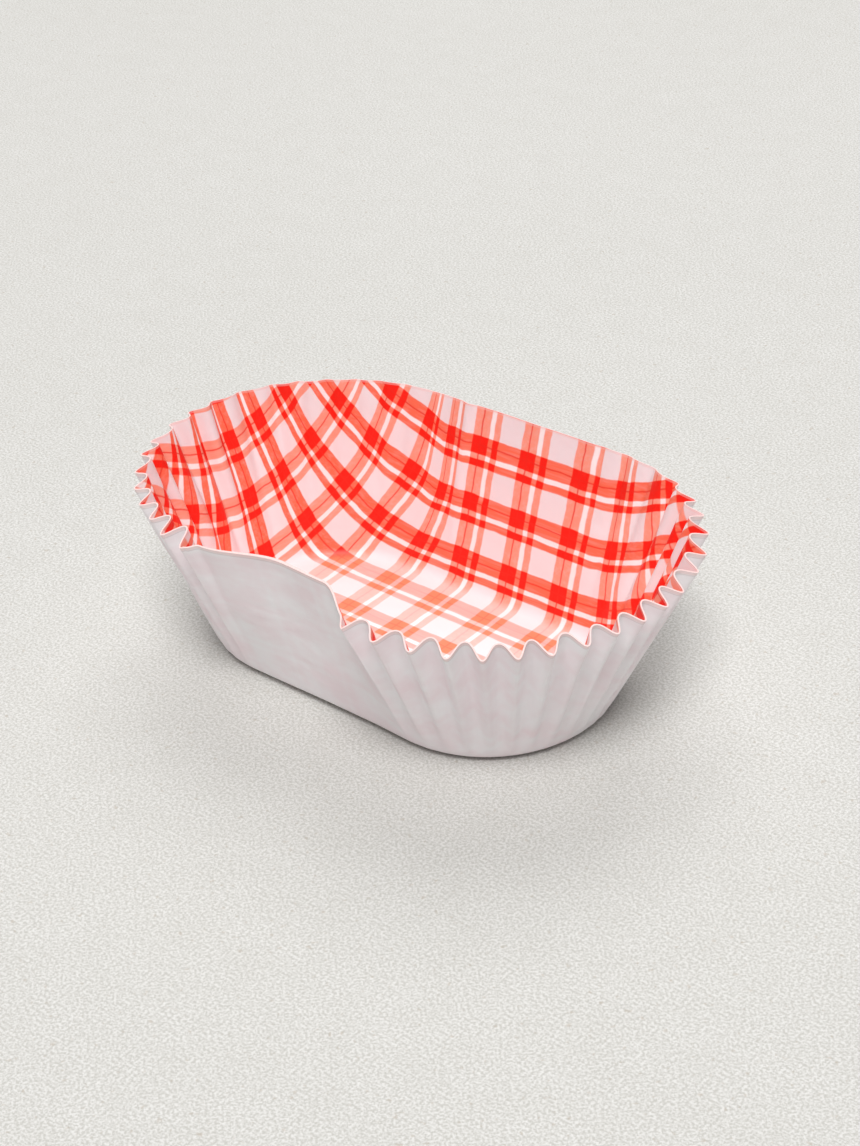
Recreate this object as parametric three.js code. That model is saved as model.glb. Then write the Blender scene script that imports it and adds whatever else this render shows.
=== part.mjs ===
// Oval paper cup for side dishes: one sheet of paper pressed into a flat base and a flaring wall.
// The two long sides stay smooth and the two round ends gather the spare paper into pleats.
import * as THREE from 'three';
import { mergeVertices } from 'three/addons/utils/BufferGeometryUtils.js';

// Driving dimensions in millimetres. The base is measured between the folds, where it meets the wall.
const BASE_LENGTH = 68.6;
const BASE_WIDTH = 36.6;
const WALL_SLANT = 29.5;
const PAPER_THICKNESS = 0.25;
const FOLD_RADIUS = 2.3;

// Pleats: how many each round end gathers, and how deep a full one is at the rim, fold to fold.
const RIGHT_END_PLEATS = 20;
const LEFT_END_PLEATS = 18;
const PLEAT_DEPTH = 3;

// A place round the cup is a station, counted anticlockwise from the near left corner of the base:
// 0 to 1 is the near side, 1 to 2 the right end, 2 to 3 the far side and 3 to 4 the left end.
const STATIONS = 4;

// Lean of the wall from upright. The near side bows in at its middle, and the right end spreads most.
const WALL_LEAN = [
  { station: 0.05, degrees: 18.5 },
  { station: 0.5, degrees: 13 },
  { station: 0.75, degrees: 13.5 },
  { station: 1.02, degrees: 22 },
  { station: 1.3, degrees: 24.5 },
  { station: 1.8, degrees: 24.5 },
  { station: 2.05, degrees: 19 },
  { station: 2.5, degrees: 18 },
  { station: 2.9, degrees: 16.5 },
  { station: 3.22, degrees: 12.5 },
  { station: 3.42, degrees: 17.5 },
  { station: 3.85, degrees: 17 },
];

// Share of the full pleat depth. It is none on the long sides and little where the left end looks pressed flat.
const PLEAT_SHARE = [
  { station: 0.06, share: 0 },
  { station: 0.95, share: 0 },
  { station: 1, share: 1 },
  { station: 1.75, share: 1 },
  { station: 1.93, share: 0.2 },
  { station: 2.05, share: 0 },
  { station: 2.95, share: 0 },
  { station: 3.1, share: 0.12 },
  { station: 3.3, share: 0.3 },
  { station: 3.55, share: 0.75 },
  { station: 3.88, share: 0.8 },
  { station: 3.95, share: 1.15 },
  { station: 4, share: 1.15 },
];

// How finely the paper is divided.
const STEPS_PER_PLEAT = 6;
const STEPS_PER_LONG_SIDE = 12;
const FOLD_ROWS = 3;
const WALL_ROWS = 5;

// An outer fold is pointed and an inner one round. This share of the second harmonic bends a plain wave so.
const FOLD_POINT = 0.14;

const endRadius = BASE_WIDTH / 2;
const halfStraight = (BASE_LENGTH - BASE_WIDTH) / 2;

// Value of a list at a station, eased from one entry to the next and running on round the cup.
function easedAt(list, key, station) {
  const turns = Math.floor(station / STATIONS);
  const place = station - turns * STATIONS;
  const after = list.findIndex((entry) => entry.station > place);
  const next = after < 0 ? 0 : after;
  const last = (next + list.length - 1) % list.length;
  const span = (list[next].station - list[last].station + STATIONS) % STATIONS;
  const passed = (place - list[last].station + STATIONS) % STATIONS;
  const ease = THREE.MathUtils.smoothstep(passed, 0, span);
  return THREE.MathUtils.lerp(list[last][key], list[next][key], ease);
}

// Centre and outward direction that the wall is measured from at a station.
function spineAt(station) {
  const side = Math.floor(station) % STATIONS;
  const along = station - Math.floor(station);
  const travel = halfStraight * (2 * along - 1);
  const quarter = Math.PI / 2;
  if (side === 0) return { x: travel, angle: -quarter };
  if (side === 1) return { x: halfStraight, angle: -quarter + Math.PI * along };
  if (side === 2) return { x: -travel, angle: quarter };
  return { x: -halfStraight, angle: quarter + Math.PI * along };
}

// Section of the paper: how far the flat floor reaches, and the length of the arc that turns it up the wall.
function sectionAt(station) {
  const lean = THREE.MathUtils.degToRad(easedAt(WALL_LEAN, 'degrees', station));
  const turn = Math.PI / 2 - lean;
  const floorReach = endRadius - FOLD_RADIUS * Math.tan(turn / 2);
  return { lean, turn, floorReach, foldLength: FOLD_RADIUS * turn };
}

// Ridge wave that runs from 1 at an outer fold to -1 at an inner one, with a fold on every corner of the base.
function ridgeWave(station) {
  const side = Math.floor(station) % STATIONS;
  const along = station - Math.floor(station);
  const pleats = side === 1 ? RIGHT_END_PLEATS : LEFT_END_PLEATS;
  const phase = side % 2 === 1 ? 2 * Math.PI * pleats * along : 0;
  return Math.cos(phase) + FOLD_POINT * (Math.cos(2 * phase) - 1);
}

// Point on the middle of the paper, at a distance measured along the sheet from the spine.
function paperPoint(station, distance) {
  const { lean, turn, floorReach, foldLength } = sectionAt(station);
  const swing = THREE.MathUtils.clamp((distance - floorReach) / FOLD_RADIUS, 0, turn);
  const climb = Math.max(distance - floorReach - foldLength, 0);
  const reach = Math.min(distance, floorReach) + FOLD_RADIUS * Math.sin(swing) + climb * Math.sin(lean);
  const height = FOLD_RADIUS * (1 - Math.cos(swing)) + climb * Math.cos(lean);

  const rise = THREE.MathUtils.clamp((distance - endRadius) / WALL_SLANT, 0, 1);
  const depth = PLEAT_DEPTH * easedAt(PLEAT_SHARE, 'share', station) * rise;
  const push = (depth / 2) * ridgeWave(station);

  const { x, angle } = spineAt(station);
  const out = reach + push * Math.cos(lean);
  const up = height - push * Math.sin(lean) + PAPER_THICKNESS / 2;
  return new THREE.Vector3(x + out * Math.cos(angle), out * Math.sin(angle), up);
}

// Distances of the rows of points, from the edge of the flat floor to the rim.
function rowDistances(station) {
  const { floorReach, foldLength } = sectionAt(station);
  const rim = endRadius + WALL_SLANT;
  const foldEnd = floorReach + foldLength;
  const rows = [];
  for (let i = 0; i < FOLD_ROWS; i += 1) rows.push(floorReach + (foldLength * i) / FOLD_ROWS);
  for (let i = 0; i <= WALL_ROWS; i += 1) rows.push(foldEnd + ((rim - foldEnd) * i) / WALL_ROWS);
  return rows;
}

// Stations of the columns of points: even steps along the long sides and through every pleat.
function columnStations() {
  const stations = [];
  const steps = [
    STEPS_PER_LONG_SIDE,
    RIGHT_END_PLEATS * STEPS_PER_PLEAT,
    STEPS_PER_LONG_SIDE,
    LEFT_END_PLEATS * STEPS_PER_PLEAT,
  ];
  steps.forEach((count, side) => {
    for (let i = 0; i < count; i += 1) stations.push(side + i / count);
  });
  return stations;
}

// Middle surface of the paper as columns of points, one column for each station.
function paperColumns() {
  return columnStations().map((station) =>
    rowDistances(station).map((distance) => paperPoint(station, distance)),
  );
}

// Direction that faces out of the cup at each point, from the points beside it. The floor's faces down.
function outwardNormals(columns) {
  const count = columns.length;
  return columns.map((column, c) =>
    column.map((point, r) => {
      if (r === 0) return new THREE.Vector3(0, 0, -1);
      const before = columns[(c + count - 1) % count][r];
      const after = columns[(c + 1) % count][r];
      const below = column[r - 1];
      const above = column[Math.min(r + 1, column.length - 1)];
      const around = new THREE.Vector3().subVectors(after, before);
      const upward = new THREE.Vector3().subVectors(above, below);
      return around.cross(upward).normalize();
    }),
  );
}

// One face of the paper: the middle surface moved by half the thickness.
function offsetColumns(columns, normals, offset) {
  return columns.map((column, c) =>
    column.map((point, r) => point.clone().addScaledVector(normals[c][r], offset)),
  );
}

// Two triangles between neighbouring pairs of points, seen from the side where a, b, c, d run anticlockwise.
function addQuad(positions, a, b, c, d) {
  [a, b, c, a, c, d].forEach((point) => positions.push(point.x, point.y, point.z));
}

// The wall's face, outward or inward.
function addWallFace(positions, columns, outward) {
  columns.forEach((column, c) => {
    const next = columns[(c + 1) % columns.length];
    for (let r = 0; r + 1 < column.length; r += 1) {
      if (outward) addQuad(positions, column[r], next[r], next[r + 1], column[r + 1]);
      else addQuad(positions, column[r], column[r + 1], next[r + 1], next[r]);
    }
  });
}

// The cut edge of the paper along the rim.
function addRimEdge(positions, outer, inner) {
  const rim = outer[0].length - 1;
  outer.forEach((column, c) => {
    const next = (c + 1) % outer.length;
    addQuad(positions, column[rim], outer[next][rim], inner[next][rim], inner[c][rim]);
  });
}

// The flat floor inside the first row of points, facing up or down.
function addFloorFace(positions, columns, facingUp) {
  const edge = columns.map((column) => column[0]);
  const outline = edge.map((point) => new THREE.Vector2(point.x, point.y));
  THREE.ShapeUtils.triangulateShape(outline, []).forEach((triangle) => {
    const order = facingUp ? triangle : [...triangle].reverse();
    order.forEach((i) => positions.push(edge[i].x, edge[i].y, edge[i].z));
  });
}

// The pressed sheet as one closed shell, standing on its floor with the middle of its extent at the origin.
function cupGeometry() {
  const middle = paperColumns();
  const normals = outwardNormals(middle);
  const outer = offsetColumns(middle, normals, PAPER_THICKNESS / 2);
  const inner = offsetColumns(middle, normals, -PAPER_THICKNESS / 2);
  const positions = [];
  addWallFace(positions, outer, true);
  addWallFace(positions, inner, false);
  addRimEdge(positions, outer, inner);
  addFloorFace(positions, outer, false);
  addFloorFace(positions, inner, true);
  const shell = new THREE.BufferGeometry();
  shell.setAttribute('position', new THREE.Float32BufferAttribute(positions, 3));
  const geometry = mergeVertices(shell);
  geometry.computeBoundingBox();
  const centre = geometry.boundingBox.getCenter(new THREE.Vector3());
  geometry.translate(-centre.x, -centre.y, 0);
  geometry.computeVertexNormals();
  return geometry;
}

// White paper printed with a red check on the inside.
function paperMaterial() {
  return new THREE.MeshStandardMaterial({ color: 0xf3d9d6, roughness: 0.55, metalness: 0 });
}

const paperCup = new THREE.Mesh(cupGeometry(), paperMaterial());
paperCup.name = 'paper_cup';

const cup = new THREE.Group();
cup.add(paperCup);

export default cup;
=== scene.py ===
import math

import bpy
import numpy as np
from mathutils import Matrix, Vector


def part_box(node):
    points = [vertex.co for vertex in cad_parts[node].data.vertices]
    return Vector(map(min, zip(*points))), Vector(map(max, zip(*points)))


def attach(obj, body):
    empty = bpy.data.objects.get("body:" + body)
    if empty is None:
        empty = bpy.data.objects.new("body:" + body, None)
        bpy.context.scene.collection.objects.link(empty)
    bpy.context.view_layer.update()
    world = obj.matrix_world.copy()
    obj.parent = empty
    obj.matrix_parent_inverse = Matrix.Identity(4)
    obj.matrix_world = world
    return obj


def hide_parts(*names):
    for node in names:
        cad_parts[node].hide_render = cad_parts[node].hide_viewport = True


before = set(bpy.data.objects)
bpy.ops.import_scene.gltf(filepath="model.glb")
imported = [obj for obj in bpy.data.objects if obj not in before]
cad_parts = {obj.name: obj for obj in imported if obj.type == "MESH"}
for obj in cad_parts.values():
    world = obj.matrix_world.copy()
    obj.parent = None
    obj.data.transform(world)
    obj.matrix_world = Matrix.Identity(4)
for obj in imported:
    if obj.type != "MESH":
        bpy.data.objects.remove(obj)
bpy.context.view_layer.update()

bl_info = {
    "name": "Paper side dish cup",
    "version": (1, 0, 0),
    "blender": (4, 5, 0),
    "location": "3D View > Sidebar > Paper Cup",
    "description": "Presses an oval paper cup with a red check print and sets it on a pale tabletop",
    "category": "Add Mesh",
}

CUP_NODE = "paper_cup"
CUP_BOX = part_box(CUP_NODE)

# The photograph's frame, in pixels, and the sensor that Blender lays along its long side, in millimetres.
PHOTO_HEIGHT = 1146
SENSOR = 36.0

MM = 0.001
TABLETOP_SIZE = 1.6

# Soft lamps, each with its place, its size and its power: one high behind the cup, one over the camera.
LAMPS = {
    "window": ((-0.5, 0.75, 1.2), 1.0, 10.0),
    "room_front": ((0.75, -0.95, 2.2), 1.0, 51.0),
}

# Strength of the white room: as a light, and as the camera sees it behind the tabletop.
ROOM_LIGHT = 0.26
ROOM_SEEN = 0.8

# A place round the cup is a station, counted anticlockwise from the near left corner of the base:
# 0 to 1 is the near side, 1 to 2 the right end, 2 to 3 the far side and 3 to 4 the left end.
STATIONS = 4

# Lean of the wall from upright, in degrees, by station.
WALL_LEAN = [
    (0.05, 18.5),
    (0.5, 13),
    (0.75, 13.5),
    (1.02, 22),
    (1.3, 24.5),
    (1.8, 24.5),
    (2.05, 19),
    (2.5, 18),
    (2.9, 16.5),
    (3.22, 12.5),
    (3.42, 17.5),
    (3.85, 17),
]

# Share of the full pleat depth, by station.
PLEAT_SHARE = [
    (0.06, 0),
    (0.95, 0),
    (1, 1),
    (1.75, 1),
    (1.93, 0.2),
    (2.05, 0),
    (2.95, 0),
    (3.1, 0.12),
    (3.3, 0.3),
    (3.55, 0.75),
    (3.88, 0.8),
    (3.95, 1.15),
    (4, 1.15),
]

# How far the paper of the rim has crept round the cup from where it would stand straight above the base,
# in millimetres of the base's edge, by station. Most of it has gone into the tuck near station 2.77.
PAPER_CREEP = [
    (2.35, 0),
    (2.72, 0.9),
    (2.82, 4.6),
    (2.98, 4.9),
    (3.12, 3.0),
    (3.3, 1.6),
    (3.6, 2.0),
    (4, 0),
]
CREEP_RISE = 18 * MM

# Share of the wall's slant from which the near side's edge swells.
SWELL_START = 0.94

# The tuck is a shallow flute in the far side: its station, its half width in stations and its depth.
TUCK_STATION = 2.77
TUCK_HALF_WIDTH = 0.035
TUCK_DEPTH = 0.7 * MM

# The base touches in its middle, and its edge stands clear of the table. The wall takes this up as it climbs.
LIFT_START = 0.35
LIFT_CLIMB = 18 * MM

# How many pleats the tips have slipped back by, by station. The right end starts with wider ones.
PLEAT_SLIP = [
    (1, 0),
    (1.2, 0.3),
    (1.33, 0.28),
    (1.5, 0),
]

# An outer fold is pointed and an inner one round. This share of the second harmonic bends a plain wave so.
FOLD_POINT = 0.14

# How finely the sheet is divided.
STEPS_PER_PLEAT = 24
STEPS_PER_LONG_SIDE = 72
FLOOR_ROWS = 6
FOLD_ROWS = 6
WALL_ROWS = 24
CAD_STEPS_PER_PLEAT = 6
CAD_STEPS_PER_LONG_SIDE = 12

# Handling: no two pleats are alike. Shares of the depth and of the pitch that they differ by.
HANDLING_SEED = 11
DEPTH_SPREAD = 0.18
PITCH_SPREAD = 0.10
SLACK_DEPTH = 0.25 * MM

# The slack lies in waves: radians for each station round the cup and for the whole climb of the wall.
SLACK_ROUND = 5.3
SLACK_CLIMB = 8.2

# One repeat of the check as shares of its pitch, starting half way across the wide gap.
WIDE_BAND = (0.240, 0.549)
WIDE_LINE = (0.382, 0.407)
NARROW_BAND = (0.637, 0.762)
THIN_GAP = (0.549, 0.637)
BAND_MIDDLE = 0.3945
PRINT_SOFTNESS = 0.013
PRINT_WOBBLE = 0.5 * MM

# Fine textures: features per metre, levels of detail and roughness of each noise.
FIBRES = (5200.0, 3.0, 0.6)
CRINKLES = (210.0, 2.0, 0.5)
WOBBLES = (230.0, 2.0, 0.55)
MOTTLE = (900.0, 3.0, 0.6)
STREAKS = (1300.0, 2.0, 0.6)
CLOUDS = (130.0, 3.0, 0.55)
EDGE_FIBRES = (2500.0, 2.0, 0.6)
GRAIN = (2500.0, 3.0, 0.7)
SPECKS = (900.0, 2.0, 0.5)
PATCHES = (160.0, 3.0, 0.6)
SHADES = (9.0, 3.0, 0.5)

# How far the textures stand out from the surface.
FIBRE_HEIGHT = 0.03 * MM
CRINKLE_HEIGHT = 0.35 * MM
EDGE_HEIGHT = 0.05 * MM
GRAIN_HEIGHT = 0.06 * MM

# The ink is streaky: the share of the paper that it covers at least, and how much the streaks add.
# Streaks run this many times longer along a band than across it.
BAND_COVER = (0.72, 0.5)
CROSSING_COVER = (0.9, 0.2)
STREAK_LENGTH = 10

# Strengths of the layers of colour inside: the thin line on the wall, on the floor (fainter there: painted
# sheen) and where bands cross, the painted-sheen orange of the floor's crossings, the bare margin, and what
# the crossings keep of the painted sheen.
LINE_ON_WALL = 0.85
LINE_ON_FLOOR = 0.5
LINE_ON_CROSSING = 0.35
FLOOR_CROSSING = 0.9
MARGIN_STRENGTH = 0.35
CROSSING_KEPT = 0.9

# Strengths of the layers outside: pinkish clouds, the print showing through, the lip and the painted shadow
# line under it.
CLOUD_STRENGTH = 0.75
THROUGH_STRENGTH = 0.16
THROUGH_SOFTNESS = 0.05
LIP_STRENGTH = 0.45
LIP_SHADOW_STRENGTH = 0.4

# The painted sheen that pales the floor's print fades out between these distances past the fold.
FLOOR_FADE = (-1.8 * MM, 0.6 * MM)
EDGE_FADE = 0.1 * MM

# The print stops short of the cut edge, and is painted paler on the floor as a painted sheen. On the outside
# a faint painted shadow line runs round under the rim's lip, between these distances below the rim.
BARE_MARGIN = 0.3 * MM
LIP_SHADOW_BAND = (0.6 * MM, 0.78 * MM)
FLOOR_SHEEN = 0.38


def linear(red, green, blue):
    """Colour for a shader socket from the 0 to 255 values that a screen shows."""
    def channel(value):
        share = value / 255
        return share / 12.92 if share <= 0.04045 else ((share + 0.055) / 1.055) ** 2.4
    return (channel(red), channel(green), channel(blue), 1.0)


class Signal:
    """A shader socket that takes part in Python arithmetic."""

    def __init__(self, shader, socket):
        self.shader = shader
        self.socket = socket

    def math(self, operation, *values):
        inputs = {place: value for place, value in enumerate(values)}
        return self.shader.node("ShaderNodeMath", {"operation": operation}, inputs)

    def __add__(self, other):
        return self.math("ADD", self, other)

    __radd__ = __add__

    def __sub__(self, other):
        return self.math("SUBTRACT", self, other)

    def __rsub__(self, other):
        return self.math("SUBTRACT", other, self)

    def __mul__(self, other):
        return self.math("MULTIPLY", self, other)

    __rmul__ = __mul__

    def fraction(self):
        return self.math("FRACT", self)

    def at_most(self, other):
        return self.math("MINIMUM", self, other)

    def larger(self, other):
        return self.math("MAXIMUM", self, other)


class Shader:
    """A material, its nodes and the few ways of adding to them."""

    def __init__(self, name):
        self.material = bpy.data.materials.new(name)
        self.material.use_nodes = True
        self.tree = self.material.node_tree
        self.tree.nodes.clear()

    def node(self, kind, settings=None, inputs=None, output=0):
        """Adds a node, sets it up, fills or links its sockets, and returns one output if it has any."""
        node = self.tree.nodes.new(kind)
        for name, value in (settings or {}).items():
            setattr(node, name, value)
        for name, value in (inputs or {}).items():
            if isinstance(value, Signal):
                self.tree.links.new(value.socket, node.inputs[name])
            else:
                node.inputs[name].default_value = value
        return Signal(self, node.outputs[output]) if node.outputs else None

    def attribute(self, name, output):
        return self.node("ShaderNodeAttribute", {"attribute_name": name}, output=output)

    def split(self, vector):
        """The three numbers of a vector."""
        first = self.node("ShaderNodeSeparateXYZ", None, {0: vector})
        return [Signal(self, output) for output in first.socket.node.outputs]

    def smooth(self, value, start, stop):
        """0 before start, 1 after stop and eased between."""
        inputs = {"Value": value, "From Min": start, "From Max": stop}
        return self.node("ShaderNodeMapRange", {"interpolation_type": "SMOOTHSTEP"}, inputs)

    def between(self, value, low, high, softness):
        """1 between low and high, with soft edges."""
        rising = self.smooth(value, low - softness, low + softness)
        falling = self.smooth(value, high - softness, high + softness)
        return rising * (1 - falling)

    def stretch(self, vector, factors):
        """A vector with each of its numbers scaled by its own factor."""
        return self.node("ShaderNodeVectorMath", {"operation": "MULTIPLY"}, {0: vector, 1: factors})

    def noise(self, vector, scale, detail=2.0, roughness=0.5):
        inputs = {"Vector": vector, "Scale": scale, "Detail": detail, "Roughness": roughness}
        return self.node("ShaderNodeTexNoise", None, inputs)

    def mix(self, factor, first, second):
        """A colour between two."""
        settings = {"data_type": "RGBA"}
        return self.node("ShaderNodeMix", settings, {"Factor": factor, 6: first, 7: second}, output=2)

    def bump(self, height, distance, strength=1.0, normal=None):
        inputs = {"Height": height, "Distance": distance, "Strength": strength}
        if normal is not None:
            inputs["Normal"] = normal
        return self.node("ShaderNodeBump", None, inputs)

    def finish(self, inputs):
        """Principled surface with these sockets, and the material that carries it."""
        surface = self.node("ShaderNodeBsdfPrincipled", None, inputs)
        self.node("ShaderNodeOutputMaterial", None, {"Surface": surface})
        return self.material


class CupSettings(bpy.types.PropertyGroup):
    """Sizes of the pressed sheet and the pitch of its print."""

    base_length: bpy.props.FloatProperty(
        name="Base length", description="Length of the base between the folds",
        default=68.6 * MM, unit="LENGTH")
    base_width: bpy.props.FloatProperty(
        name="Base width", description="Width of the base between the folds",
        default=36.6 * MM, unit="LENGTH")
    wall_slant: bpy.props.FloatProperty(
        name="Wall slant", description="Height of the wall along the paper",
        default=29.5 * MM, unit="LENGTH")
    paper: bpy.props.FloatProperty(
        name="Paper", description="Thickness of the sheet",
        default=0.22 * MM, unit="LENGTH")
    rim_swell: bpy.props.FloatProperty(
        name="Rim swell", description="How much thicker the cut edge of the smooth near side is",
        default=0.22 * MM, unit="LENGTH")
    fold_radius: bpy.props.FloatProperty(
        name="Fold radius", description="Radius of the fold between the base and the wall",
        default=2.3 * MM, unit="LENGTH")
    edge_lift: bpy.props.FloatProperty(
        name="Edge lift", description="How far the edge of the base stands clear of the table",
        default=0.4 * MM, unit="LENGTH")
    pleat_depth: bpy.props.FloatProperty(
        name="Pleat depth", description="Depth of a full pleat at the rim, fold to fold",
        default=3.0 * MM, unit="LENGTH")
    right_pleats: bpy.props.IntProperty(
        name="Right end pleats", description="Pleats round the right end", default=20)
    left_pleats: bpy.props.IntProperty(
        name="Left end pleats", description="Pleats round the left end", default=18)
    pitch_along: bpy.props.FloatProperty(
        name="Check pitch along", description="Repeat of the check along the cup",
        default=10.0 * MM, unit="LENGTH")
    pitch_across: bpy.props.FloatProperty(
        name="Check pitch across", description="Repeat of the check across the cup",
        default=9.41 * MM, unit="LENGTH")
    check_along: bpy.props.FloatProperty(
        name="Check place along", description="Middle of a wide band, from the middle of the base",
        default=3.2 * MM, unit="LENGTH")
    check_across: bpy.props.FloatProperty(
        name="Check place across", description="Middle of a wide band, from the middle of the base",
        default=4.15 * MM, unit="LENGTH")


class FinishSettings(bpy.types.PropertyGroup):
    """Colours of the paper, its print and the tabletop."""

    ground: bpy.props.FloatVectorProperty(
        name="Ground", description="Paper inside the wide gaps of the check", size=4,
        subtype="COLOR", default=linear(240, 231, 234))
    bare: bpy.props.FloatVectorProperty(
        name="Bare paper", description="Paper in the thin gaps of the check", size=4,
        subtype="COLOR", default=linear(250, 245, 246))
    along_ink: bpy.props.FloatVectorProperty(
        name="Ink along", description="One layer of ink in the bands along the cup", size=4,
        subtype="COLOR", default=linear(249, 114, 84))
    across_ink: bpy.props.FloatVectorProperty(
        name="Ink across", description="One layer of ink in the bands across the cup", size=4,
        subtype="COLOR", default=linear(249, 158, 136))
    double_ink: bpy.props.FloatVectorProperty(
        name="Ink twice", description="Where two bands cross", size=4,
        subtype="COLOR", default=linear(246, 24, 2))
    line_ink: bpy.props.FloatVectorProperty(
        name="Line ink", description="Thin line along the middle of a wide band", size=4,
        subtype="COLOR", default=linear(234, 44, 28))
    # Painted sheen: orange for the floor's crossings, where glare off the coat pales the red.
    sheened_crossing_ink: bpy.props.FloatVectorProperty(
        name="Ink on the floor", description="Where two bands cross on the floor", size=4,
        subtype="COLOR", default=linear(248, 140, 96))
    # Painted sheen: a pale veil laid over the floor's print, standing in for glare off the coat.
    floor_sheen: bpy.props.FloatVectorProperty(
        name="Film", description="Pale film that lies over the print on the floor", size=4,
        subtype="COLOR", default=linear(252, 248, 248))
    # Painted shadow: the darker line that the lip casts on the outside under the rim.
    lip_shadow: bpy.props.FloatVectorProperty(
        name="Crease", description="Faint line round the outside under the rim", size=4,
        subtype="COLOR", default=linear(206, 178, 178))
    outside: bpy.props.FloatVectorProperty(
        name="Outside", description="Plain paper on the outside", size=4,
        subtype="COLOR", default=linear(249, 246, 248))
    blush: bpy.props.FloatVectorProperty(
        name="Blush", description="Outside where the print shows through", size=4,
        subtype="COLOR", default=linear(246, 231, 235))
    edge: bpy.props.FloatVectorProperty(
        name="Cut edge", description="Edge of the sheet along the rim", size=4,
        subtype="COLOR", default=linear(246, 202, 196))
    tabletop: bpy.props.FloatVectorProperty(
        name="Tabletop", description="Pale board under the cup", size=4,
        subtype="COLOR", default=linear(229, 228, 226))
    tabletop_shade: bpy.props.FloatVectorProperty(
        name="Tabletop shade", description="Darker clouds of the board", size=4,
        subtype="COLOR", default=linear(207, 205, 200))
    tabletop_grain: bpy.props.FloatVectorProperty(
        name="Tabletop grain", description="Fine grain of the board", size=4,
        subtype="COLOR", default=linear(178, 176, 169))
    tabletop_speck: bpy.props.FloatVectorProperty(
        name="Tabletop specks", description="Brownish specks of the board", size=4,
        subtype="COLOR", default=linear(172, 158, 140))


class StageSettings(bpy.types.PropertyGroup):
    """Where the camera stands, as the photograph was taken."""

    azimuth: bpy.props.FloatProperty(
        name="Azimuth", description="Camera direction round the cup, from the near side",
        default=math.radians(42.57), subtype="ANGLE")
    elevation: bpy.props.FloatProperty(
        name="Elevation", description="Camera height angle",
        default=math.radians(32.26), subtype="ANGLE")
    roll: bpy.props.FloatProperty(
        name="Roll", description="Camera roll", default=math.radians(-3.87), subtype="ANGLE")
    distance: bpy.props.FloatProperty(
        name="Distance", description="Camera distance from the middle of the base",
        default=0.364, unit="LENGTH")
    slide_right: bpy.props.FloatProperty(
        name="Slide right", description="How far the view's middle lies right of the base's middle",
        default=2.8 * MM, unit="LENGTH")
    slide_up: bpy.props.FloatProperty(
        name="Slide up", description="How far the view's middle lies above the base's middle",
        default=12.3 * MM, unit="LENGTH")
    focal_pixels: bpy.props.FloatProperty(
        name="Focal length", description="Focal length in pixels of the photograph", default=2372.0)


def eased_at(curve, station):
    """Values of a curve at stations, eased from one entry to the next and running on round the cup."""
    keys = np.array([key for key, _ in curve], float)
    values = np.array([value for _, value in curve], float)
    place = np.mod(station, STATIONS)
    following = np.searchsorted(keys, place, side="right") % len(keys)
    last = following - 1
    span = np.mod(keys[following] - keys[last], STATIONS)
    share = np.clip(np.mod(place - keys[last], STATIONS) / span, 0, 1)
    ease = share * share * (3 - 2 * share)
    return values[last] + (values[following] - values[last]) * ease


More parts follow.
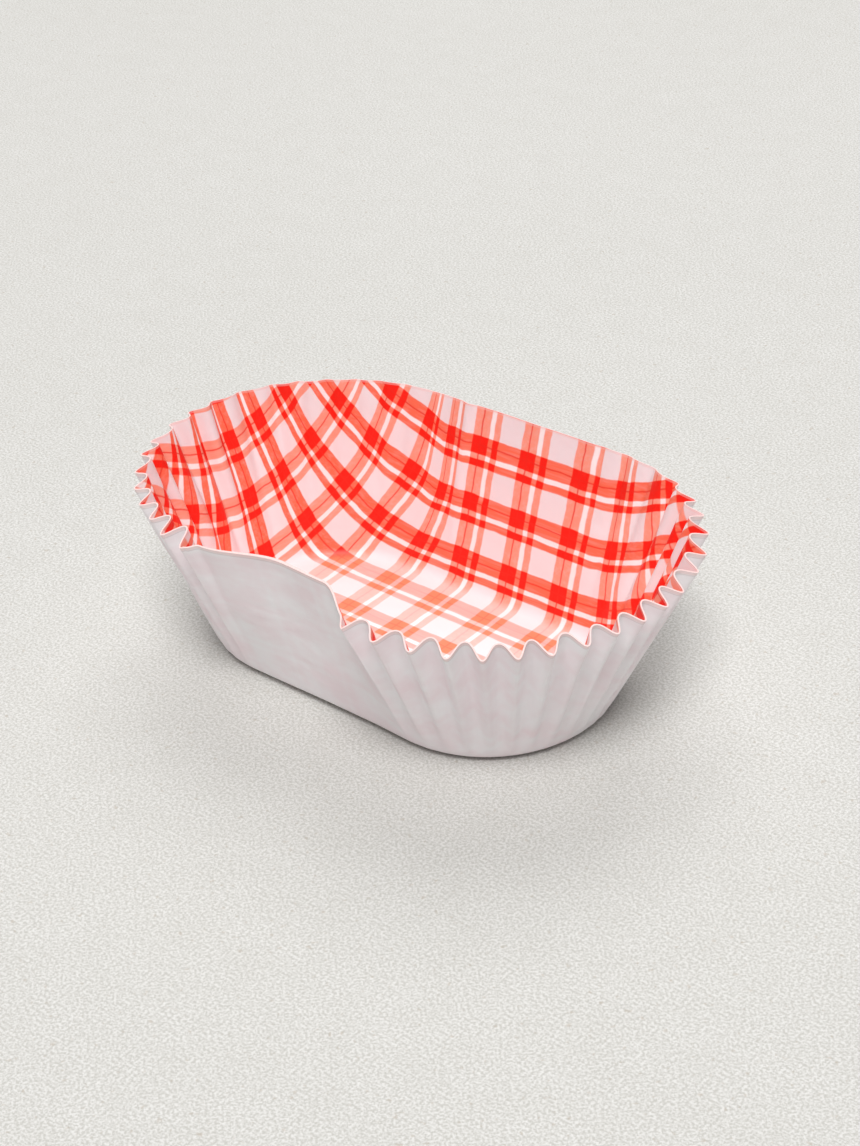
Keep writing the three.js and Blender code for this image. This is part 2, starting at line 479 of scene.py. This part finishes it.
class Sheet:
    """The pressed sheet: where each point of the flat paper comes to lie."""

    def __init__(self, cup, steps_per_pleat, steps_per_side, handled):
        self.cup = cup
        self.end_radius = cup.base_width / 2
        self.half_straight = (cup.base_length - cup.base_width) / 2
        self.handled = handled
        self.stations = self.column_stations(steps_per_pleat, steps_per_side)
        self.handling = self.pleat_handling()

    def column_stations(self, steps_per_pleat, steps_per_side):
        """Stations of the columns of points: even steps along the long sides and through every pleat."""
        counts = (
            steps_per_side,
            self.cup.right_pleats * steps_per_pleat,
            steps_per_side,
            self.cup.left_pleats * steps_per_pleat,
        )
        sides = [side + np.arange(count) / count for side, count in enumerate(counts)]
        return np.concatenate(sides)

    def pleat_handling(self):
        """Depth share and shift of every pleat, smooth from one to the next."""
        random = np.random.default_rng(HANDLING_SEED)
        pleats = self.cup.right_pleats + self.cup.left_pleats
        depth = 1 - DEPTH_SPREAD * random.random(pleats)
        shift = PITCH_SPREAD * (2 * random.random(pleats) - 1)
        return depth, shift

    def pleat_place(self, station):
        """Number of pleats passed before a station, counting round both ends."""
        along_right = np.clip(station - 1, 0, 1) * self.cup.right_pleats
        along_left = np.clip(station - 3, 0, 1) * self.cup.left_pleats
        return along_right + along_left

    def handled_value(self, values, place):
        """A value that belongs to each pleat, eased between neighbours."""
        low = np.floor(place).astype(int)
        share = place - low
        ease = share * share * (3 - 2 * share)
        first = values[low % len(values)]
        second = values[(low + 1) % len(values)]
        return first + (second - first) * ease

    def ridge_wave(self, station):
        """Runs from 1 at an outer fold to -1 at an inner one."""
        place = self.pleat_place(station)
        shift = 0.0
        if self.handled:
            shift = self.handled_value(self.handling[1], place)
            shift = shift - eased_at(PLEAT_SLIP, station)
        phase = 2 * np.pi * (place + shift)
        return np.cos(phase) + FOLD_POINT * (np.cos(2 * phase) - 1)

    def spine(self, station):
        """Middle point and outward angle that the wall is measured from."""
        side = np.floor(station).astype(int) % STATIONS
        along = station - np.floor(station)
        travel = self.half_straight * (2 * along - 1)
        middle = np.choose(side, [travel, self.half_straight, -travel, -self.half_straight])
        quarter = np.pi / 2
        turned = np.pi * along
        angle = np.choose(side, [-quarter, turned - quarter, quarter, quarter + turned])
        return middle, angle

    def section(self, station):
        """Lean, turn of the fold, reach of the flat floor and length of the fold's arc."""
        lean = np.radians(eased_at(WALL_LEAN, station))
        turn = np.pi / 2 - lean
        reach = self.end_radius - self.cup.fold_radius * np.tan(turn / 2)
        return lean, turn, reach, self.cup.fold_radius * turn

    def row_distances(self, station):
        """Distances from the spine of every row of points, one column for each station."""
        _, _, reach, fold = self.section(station)
        rim = self.end_radius + self.cup.wall_slant
        rows = [reach * (LIFT_START + (1 - LIFT_START) * i / FLOOR_ROWS) for i in range(FLOOR_ROWS)]
        rows += [reach + fold * i / FOLD_ROWS for i in range(FOLD_ROWS)]
        start = reach + fold
        rows += [start + (rim - start) * i / WALL_ROWS for i in range(WALL_ROWS + 1)]
        return np.array(rows)

    def rise(self, distance):
        """Share of the wall's slant that a row has climbed, from 0 at the fold to 1 at the rim."""
        return np.clip((distance - self.end_radius) / self.cup.wall_slant, 0, 1)

    def push(self, station, distance):
        """How far pleats, the tuck and the slack of the paper move it out from the plain wall."""
        rise = self.rise(distance)
        share = eased_at(PLEAT_SHARE, station)
        depth = self.cup.pleat_depth * share * rise
        slack = 0.0
        if self.handled:
            depth = depth * self.handled_value(self.handling[0], self.pleat_place(station))
            across = (station - TUCK_STATION) / TUCK_HALF_WIDTH
            tuck = -TUCK_DEPTH * np.exp(-across * across) * rise
            waves = np.sin(SLACK_ROUND * station + 1) * np.sin(SLACK_CLIMB * rise + station)
            slack = tuck - SLACK_DEPTH * (1 + waves) / 2 * np.sin(np.pi * rise)
        return depth / 2 * self.ridge_wave(station) + slack

    def lift(self, distance, reach, climb):
        """How far the paper stands above where a flat base would put it."""
        if not self.handled:
            return 0.0
        near_edge = np.clip((distance / reach - LIFT_START) / (1 - LIFT_START), 0, 1)
        left = 1 - np.clip(climb / LIFT_CLIMB, 0, 1)
        return self.cup.edge_lift * near_edge * near_edge * left * left

    def points(self):
        """Middle surface of the paper as rows by columns by x, y, z."""
        station = self.stations
        distance = self.row_distances(station)
        lean, turn, reach, fold = self.section(station)
        swing = np.clip((distance - reach) / self.cup.fold_radius, 0, turn)
        climb = np.clip(distance - reach - fold, 0, None)
        out = np.minimum(distance, reach) + self.cup.fold_radius * np.sin(swing) + climb * np.sin(lean)
        up = self.cup.fold_radius * (1 - np.cos(swing)) + climb * np.cos(lean)
        push = self.push(station, distance)
        middle, angle = self.spine(station)
        out = out + push * np.cos(lean)
        up = up - push * np.sin(lean) + self.cup.paper / 2 + self.lift(distance, reach, climb)
        return np.stack([middle + out * np.cos(angle), out * np.sin(angle), up], axis=-1)

    def flat_places(self):
        """Where the same points lie on the flat sheet before it was pressed, and how far past the fold."""
        station = self.stations
        distance = self.row_distances(station)
        grown = np.clip((distance - self.end_radius) / CREEP_RISE, 0, 1)
        creep = eased_at(PAPER_CREEP, station) * MM * np.sin(np.pi / 2 * grown)
        lengths = np.array([2 * self.half_straight, np.pi * self.end_radius] * 2)
        starts = np.concatenate([[0], np.cumsum(lengths)])
        side = np.floor(station).astype(int)
        place = starts[side] + (station - side) * lengths[side] + creep
        place = np.mod(place, starts[-1])
        side = np.searchsorted(starts, place, side="right") - 1
        crept = side + (place - starts[side]) / lengths[side]
        middle, angle = self.spine(crept)
        above = distance - self.end_radius
        return np.stack([middle + distance * np.cos(angle), distance * np.sin(angle), above], axis=-1)


def outward_normals(points):
    """Direction out of the cup at every point, from the points beside it."""
    around = np.roll(points, -1, axis=1) - np.roll(points, 1, axis=1)
    upward = np.gradient(points, axis=0)
    normals = np.cross(around, upward)
    normals[0] = (0, 0, -1)
    return normals / np.linalg.norm(normals, axis=-1, keepdims=True)


def shell_faces(rows, columns):
    """Faces of the closed shell with the material slot of each: 0 inside, 1 outside, 2 cut edge."""
    count = rows * columns
    faces = []
    slots = []
    for row in range(rows - 1):
        for column in range(columns):
            after = (column + 1) % columns
            low, high = row * columns, (row + 1) * columns
            quad = (low + column, low + after, high + after, high + column)
            faces.append(quad)
            slots.append(1)
            faces.append(tuple(count + corner for corner in reversed(quad)))
            slots.append(0)
    rim = (rows - 1) * columns
    for column in range(columns):
        after = (column + 1) % columns
        faces.append((rim + column, rim + after, count + rim + after, count + rim + column))
        slots.append(2)
    faces.append(tuple(reversed(range(columns))))
    slots.append(1)
    faces.append(tuple(range(count, count + columns)))
    slots.append(0)
    return faces, slots


def print_bands(shader, phase, softness):
    """Cover of the bands of one direction, and of the thin line in the wide one."""
    wide = shader.between(phase, *WIDE_BAND, softness)
    narrow = shader.between(phase, *NARROW_BAND, softness)
    line = shader.between(phase, *WIDE_LINE, softness)
    gap = shader.between(phase, *THIN_GAP, softness)
    return wide + narrow, line, gap


def check_phases(shader, cup):
    """Place within one repeat of the check, along and across the flat sheet, and distance past the fold."""
    flat = shader.attribute("flat", 1)
    along, across, above = shader.split(flat)
    wobble = shader.noise(flat, *WOBBLES) - 0.5
    along = along + wobble * PRINT_WOBBLE
    across = across - wobble * PRINT_WOBBLE
    along_start = BAND_MIDDLE - cup.check_along / cup.pitch_along
    across_start = BAND_MIDDLE + cup.check_across / cup.pitch_across
    along_phase = (along * (1 / cup.pitch_along) + along_start).fraction()
    across_phase = (across * (-1 / cup.pitch_across) + across_start).fraction()
    return along_phase, across_phase, above


def paper_bump(shader, flat, fibre_strength, crinkle_strength):
    """Fine fibres and the soft crinkles of handled paper."""
    fibre = shader.noise(flat, *FIBRES)
    crinkle = shader.noise(flat, *CRINKLES)
    soft = shader.bump(crinkle, CRINKLE_HEIGHT, crinkle_strength)
    return shader.bump(fibre, FIBRE_HEIGHT, fibre_strength, soft)


def streaky_cover(shader, flat, factors):
    """Cover of a band whose ink lies in streaks."""
    streaks = shader.noise(shader.stretch(flat, factors), *STREAKS)
    least, added = BAND_COVER
    return (least + added * streaks).at_most(1.0)


def printed_inside(cup, colours):
    """Film-coated inside with the red check, and a painted sheen that pales the print on the floor."""
    shader = Shader("printed_inside")
    flat = shader.attribute("flat", 1)
    along_phase, across_phase, above = check_phases(shader, cup)
    across_bands, across_line, across_gap = print_bands(shader, along_phase, PRINT_SOFTNESS)
    along_bands, along_line, along_gap = print_bands(shader, across_phase, PRINT_SOFTNESS)

    mottle = shader.noise(flat, *MOTTLE)
    bare = 1 - (1 - across_gap) * (1 - along_gap)
    colour = shader.mix(bare, tuple(colours.ground), tuple(colours.bare))
    across_cover = streaky_cover(shader, flat, (1.0, 1 / STREAK_LENGTH, 1.0))
    along_cover = streaky_cover(shader, flat, (1 / STREAK_LENGTH, 1.0, 1.0))
    colour = shader.mix(across_bands * across_cover, colour, tuple(colours.across_ink))
    colour = shader.mix(along_bands * along_cover, colour, tuple(colours.along_ink))

    # On the floor the colours carry a painted sheen: a fainter line, orange crossings and a pale veil over
    # the print.
    floor = 1 - shader.smooth(above, *FLOOR_FADE)
    line = across_line.larger(along_line)
    line_strength = LINE_ON_WALL - (LINE_ON_WALL - LINE_ON_FLOOR) * floor
    colour = shader.mix(line * line_strength, colour, tuple(colours.line_ink))

    crossing = across_bands * along_bands
    least, added = CROSSING_COVER
    crossing_cover = (least + added * mottle).at_most(1.0)
    # Painted sheen: on the floor the crossings turn from red to a paler orange.
    double = shader.mix(floor * FLOOR_CROSSING, tuple(colours.double_ink), tuple(colours.sheened_crossing_ink))
    colour = shader.mix(crossing * crossing_cover, colour, double)
    colour = shader.mix(crossing * line * LINE_ON_CROSSING, colour, tuple(colours.line_ink))

    bare_from = cup.wall_slant - BARE_MARGIN
    margin = shader.smooth(above, bare_from - EDGE_FADE, bare_from)
    colour = shader.mix(margin * MARGIN_STRENGTH, colour, tuple(colours.edge))
    # Painted sheen: a pale veil over the floor's print, kept off most of the crossings.
    floor_sheen_share = floor * FLOOR_SHEEN * (1 - CROSSING_KEPT * crossing)
    colour = shader.mix(floor_sheen_share, colour, tuple(colours.floor_sheen))
    return shader.finish({
        "Base Color": colour,
        "Roughness": 0.45 + 0.12 * mottle,
        "Specular IOR Level": 0.35,
        "Normal": paper_bump(shader, flat, 0.18, 0.55),
        "Coat Weight": 0.12,
        "Coat Roughness": 0.35,
    })


def plain_outside(cup, colours):
    """Plain outside with the print showing through as a faint blush, and a painted shadow line under the lip.
    """
    shader = Shader("plain_outside")
    flat = shader.attribute("flat", 1)
    along_phase, across_phase, above = check_phases(shader, cup)
    across_bands, _, _ = print_bands(shader, along_phase, THROUGH_SOFTNESS)
    along_bands, _, _ = print_bands(shader, across_phase, THROUGH_SOFTNESS)
    cloud = shader.noise(flat, *CLOUDS)
    patch = shader.smooth(cloud, 0.3, 0.7)
    blush = patch * CLOUD_STRENGTH + (across_bands + along_bands) * THROUGH_STRENGTH
    colour = shader.mix(blush, tuple(colours.outside), tuple(colours.blush))

    below_rim = cup.wall_slant - above
    shadow_top, shadow_foot = LIP_SHADOW_BAND
    lip = 1 - shader.smooth(below_rim, shadow_top - EDGE_FADE, shadow_top)
    # Painted shadow: a darker band under the lip, where its shadow would fall.
    lip_shadow = shader.between(below_rim, shadow_top, shadow_foot, EDGE_FADE / 2)
    colour = shader.mix(lip * LIP_STRENGTH, colour, tuple(colours.edge))
    colour = shader.mix(lip_shadow * LIP_SHADOW_STRENGTH, colour, tuple(colours.lip_shadow))
    return shader.finish({
        "Base Color": colour,
        "Roughness": 0.62 + 0.1 * cloud,
        "Normal": paper_bump(shader, flat, 0.25, 0.5),
    })


def cut_edge(colours):
    """Fibrous edge of the sheet."""
    shader = Shader("cut_edge")
    place = shader.node("ShaderNodeTexCoord", output=3)
    fibre = shader.noise(place, *EDGE_FIBRES)
    colour = shader.mix(fibre * 0.5, tuple(colours.edge), tuple(colours.bare))
    return shader.finish({
        "Base Color": colour,
        "Roughness": 0.8,
        "Normal": shader.bump(fibre, EDGE_HEIGHT, 0.4),
    })


def tabletop_finish(colours):
    """Pale board with a fine plaster-like grain."""
    shader = Shader("tabletop")
    place = shader.node("ShaderNodeTexCoord", output=3)
    grain = shader.smooth(shader.noise(place, *GRAIN), 0.36, 0.64)
    speck = shader.smooth(shader.noise(place, *SPECKS), 0.64, 0.74)
    shade = shader.noise(place, *SHADES) * 0.3 + shader.noise(place, *PATCHES) * 0.5
    colour = shader.mix(shade, tuple(colours.tabletop), tuple(colours.tabletop_shade))
    colour = shader.mix(grain * 0.75, colour, tuple(colours.tabletop_grain))
    colour = shader.mix(speck * 0.4, colour, tuple(colours.tabletop_speck))
    return shader.finish({
        "Base Color": colour,
        "Roughness": 0.9,
        "Normal": shader.bump(grain, GRAIN_HEIGHT, 0.35),
    })


class PAPERCUP_OT_press_sheet(bpy.types.Operator):
    """Press the printed sheet into the pleated oval cup"""

    bl_idname = "mesh.paper_cup_press_sheet"
    bl_label = "Press the sheet"

    def execute(self, context):
        cup = context.scene.paper_cup
        plain = Sheet(cup, CAD_STEPS_PER_PLEAT, CAD_STEPS_PER_LONG_SIDE, handled=False).points()
        low, high = plain.min(axis=(0, 1)), plain.max(axis=(0, 1))
        box_middle = (np.array(CUP_BOX[0]) + np.array(CUP_BOX[1])) / 2
        offset = box_middle - (low + high) / 2
        offset[2] = 0
        context.scene.paper_cup_stage_offset = offset.tolist()

        sheet = Sheet(cup, STEPS_PER_PLEAT, STEPS_PER_LONG_SIDE, handled=True)
        middle = sheet.points() + offset
        normals = outward_normals(middle)
        near = np.where(sheet.stations < 1, np.sin(np.pi * sheet.stations) ** 2, 0)
        rise = sheet.rise(sheet.row_distances(sheet.stations))
        rim_share = np.clip((rise - SWELL_START) / (1 - SWELL_START), 0, 1)
        half = (cup.paper + cup.rim_swell * near * rim_share)[..., None] / 2
        outer = middle + normals * half
        inner = middle - normals * half
        rows, columns = middle.shape[:2]
        vertices = np.concatenate([outer.reshape(-1, 3), inner.reshape(-1, 3)])
        faces, slots = shell_faces(rows, columns)

        mesh = bpy.data.meshes.new("pressed_sheet")
        mesh.from_pydata(vertices.tolist(), [], faces)
        mesh.polygons.foreach_set("material_index", slots)
        mesh.polygons.foreach_set("use_smooth", [True] * len(faces))
        flat = sheet.flat_places().reshape(-1, 3)
        flat = np.concatenate([flat, flat])
        layer = mesh.attributes.new("flat", "FLOAT_VECTOR", "POINT")
        layer.data.foreach_set("vector", flat.astype(np.float32).ravel())
        mesh.update()
        mesh.set_sharp_from_angle(angle=math.radians(60))
        if mesh.validate():
            raise RuntimeError("the pressed sheet has faces that don't close")

        colours = context.scene.paper_cup_finish
        for material in (printed_inside(cup, colours), plain_outside(cup, colours), cut_edge(colours)):
            mesh.materials.append(material)
        piece = bpy.data.objects.new("pressed_sheet", mesh)
        context.scene.collection.objects.link(piece)
        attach(piece, "root")
        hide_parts(CUP_NODE)
        return {"FINISHED"}


def add_area_light(context, name, place, size, power):
    """Soft square light at a place, turned to shine at the cup."""
    light = bpy.data.lights.new(name, "AREA")
    light.size = size
    light.energy = power
    lamp = bpy.data.objects.new(name, light)
    direction = -Vector(place)
    lamp.matrix_world = Matrix.Translation(place) @ direction.to_track_quat("-Z", "Y").to_matrix().to_4x4()
    context.scene.collection.objects.link(lamp)


class PAPERCUP_OT_set_stage(bpy.types.Operator):
    """Lay the pale tabletop and set the lights and the camera"""

    bl_idname = "scene.paper_cup_set_stage"
    bl_label = "Set the stage"

    def execute(self, context):
        self.lay_tabletop(context)
        self.hang_lights(context)
        self.stand_camera(context)
        context.scene.view_settings.view_transform = "Standard"
        return {"FINISHED"}

    def lay_tabletop(self, context):
        half = TABLETOP_SIZE / 2
        mesh = bpy.data.meshes.new("tabletop")
        corners = [(-half, -half, 0), (half, -half, 0), (half, half, 0), (-half, half, 0)]
        mesh.from_pydata(corners, [], [(0, 1, 2, 3)])
        mesh.materials.append(tabletop_finish(context.scene.paper_cup_finish))
        tabletop = bpy.data.objects.new("tabletop", mesh)
        context.scene.collection.objects.link(tabletop)

    def hang_lights(self, context):
        world = bpy.data.worlds.new("pale_room")
        world.use_nodes = True
        tree = world.node_tree
        background = tree.nodes["Background"]
        background.inputs["Color"].default_value = (1.0, 1.0, 1.0, 1.0)
        seen = tree.nodes.new("ShaderNodeLightPath").outputs["Is Camera Ray"]
        strength = tree.nodes.new("ShaderNodeMapRange")
        strength.inputs["To Min"].default_value = ROOM_LIGHT
        strength.inputs["To Max"].default_value = ROOM_SEEN
        tree.links.new(seen, strength.inputs["Value"])
        tree.links.new(strength.outputs["Result"], background.inputs["Strength"])
        context.scene.world = world
        for name, (place, size, power) in LAMPS.items():
            add_area_light(context, name, place, size, power)

    def stand_camera(self, context):
        stage = context.scene.paper_cup_stage
        azimuth, elevation = stage.azimuth, stage.elevation
        back = Vector((
            math.sin(azimuth) * math.cos(elevation),
            -math.cos(azimuth) * math.cos(elevation),
            math.sin(elevation),
        ))
        level = Vector((math.cos(azimuth), math.sin(azimuth), 0))
        upright = back.cross(level)
        right = level * math.cos(stage.roll) + upright * math.sin(stage.roll)
        up = back.cross(right)
        base_middle = Vector(context.scene.paper_cup_stage_offset)
        place = base_middle + back * stage.distance + right * stage.slide_right + up * stage.slide_up
        lens = bpy.data.cameras.new("camera")
        lens.lens = stage.focal_pixels / PHOTO_HEIGHT * SENSOR
        lens.sensor_width = SENSOR
        camera = bpy.data.objects.new("camera", lens)
        camera.matrix_world = Matrix.Translation(place) @ Matrix((right, up, back)).transposed().to_4x4()
        context.scene.collection.objects.link(camera)
        context.scene.camera = camera


class PAPERCUP_PT_sidebar(bpy.types.Panel):
    """Lists the steps that make the cup"""

    bl_idname = "PAPERCUP_PT_sidebar"
    bl_label = "Paper side dish cup"
    bl_space_type = "VIEW_3D"
    bl_region_type = "UI"
    bl_category = "Paper Cup"

    def draw(self, context):
        for settings in (context.scene.paper_cup, context.scene.paper_cup_finish):
            for name in settings.bl_rna.properties.keys():
                if name not in {"rna_type", "name"}:
                    self.layout.prop(settings, name)
        for operator in OPERATORS:
            self.layout.operator(operator.bl_idname)


OPERATORS = (PAPERCUP_OT_press_sheet, PAPERCUP_OT_set_stage)
CLASSES = (CupSettings, FinishSettings, StageSettings, *OPERATORS, PAPERCUP_PT_sidebar)


def register():
    for each in CLASSES:
        bpy.utils.register_class(each)
    scene = bpy.types.Scene
    scene.paper_cup = bpy.props.PointerProperty(type=CupSettings)
    scene.paper_cup_finish = bpy.props.PointerProperty(type=FinishSettings)
    scene.paper_cup_stage = bpy.props.PointerProperty(type=StageSettings)
    scene.paper_cup_stage_offset = bpy.props.FloatVectorProperty(
        name="Middle of the base", description="Where the middle of the base lies", size=3,
        unit="LENGTH")


def unregister():
    scene = bpy.types.Scene
    del scene.paper_cup_stage_offset
    del scene.paper_cup_stage
    del scene.paper_cup_finish
    del scene.paper_cup
    for each in reversed(CLASSES):
        bpy.utils.unregister_class(each)


def main():
    register()
    bpy.ops.mesh.paper_cup_press_sheet()
    bpy.ops.scene.paper_cup_set_stage()


if __name__ == "__main__":
    main()
